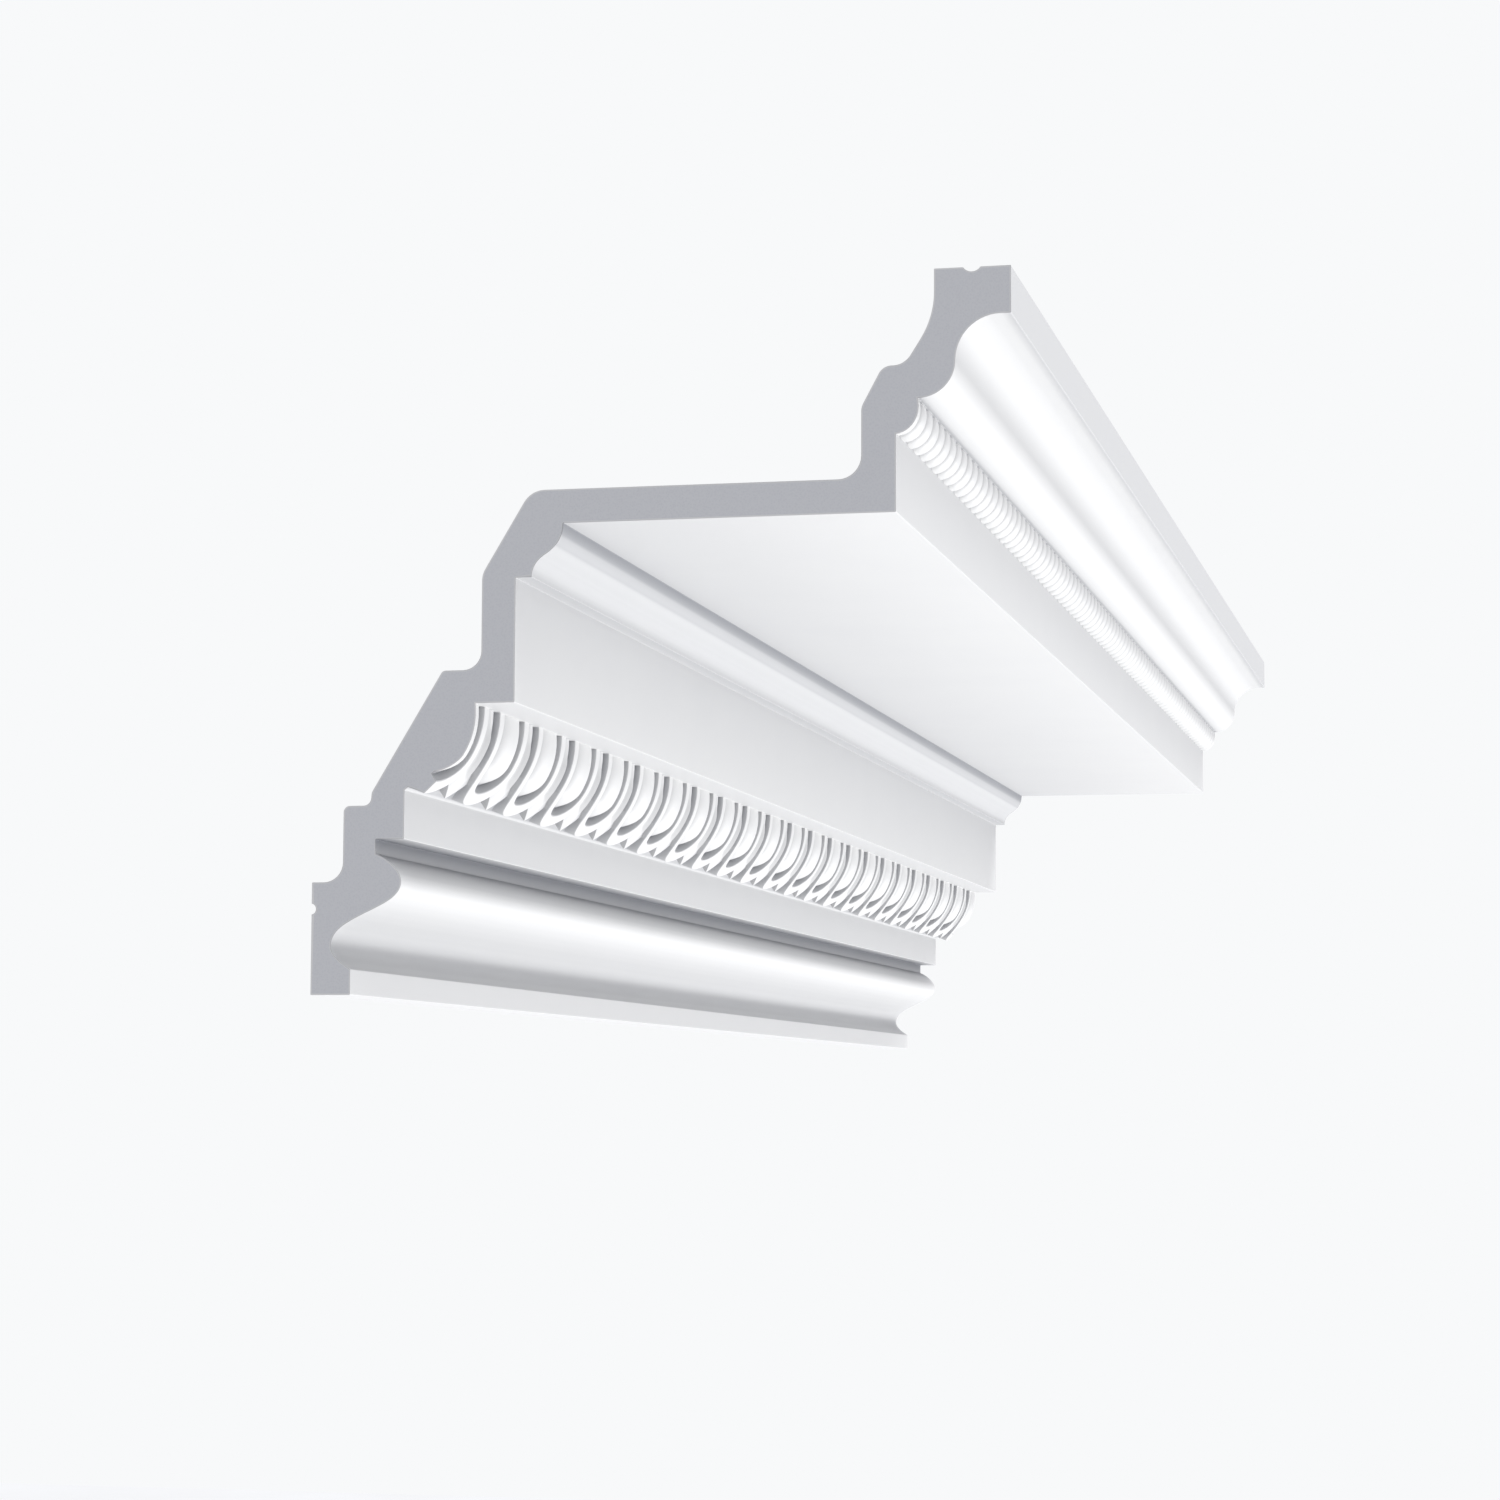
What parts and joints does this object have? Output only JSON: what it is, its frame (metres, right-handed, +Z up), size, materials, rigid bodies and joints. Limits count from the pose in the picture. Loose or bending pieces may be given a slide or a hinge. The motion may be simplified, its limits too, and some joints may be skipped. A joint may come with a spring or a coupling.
{
  "type": "cornice moulding length",
  "caption": "Straight length of ceiling cornice with egg-and-dart band, bead row, fascias and a hollow back, cut square at both ends.",
  "frame": {"origin": "wall face, halfway along the length, 14 mm above the bottom edge", "axes": "+X along the length, +Y into the wall, +Z up to the ceiling"},
  "size_m": [1.1, 0.244, 0.244],
  "materials": {
    "white_primer": "smooth matt white factory primer on rigid foam; bare foam shows on the two cut ends"
  },
  "bodies": {
    "root": {"cornice_length": "white_primer"}
  },
  "joints": []
}
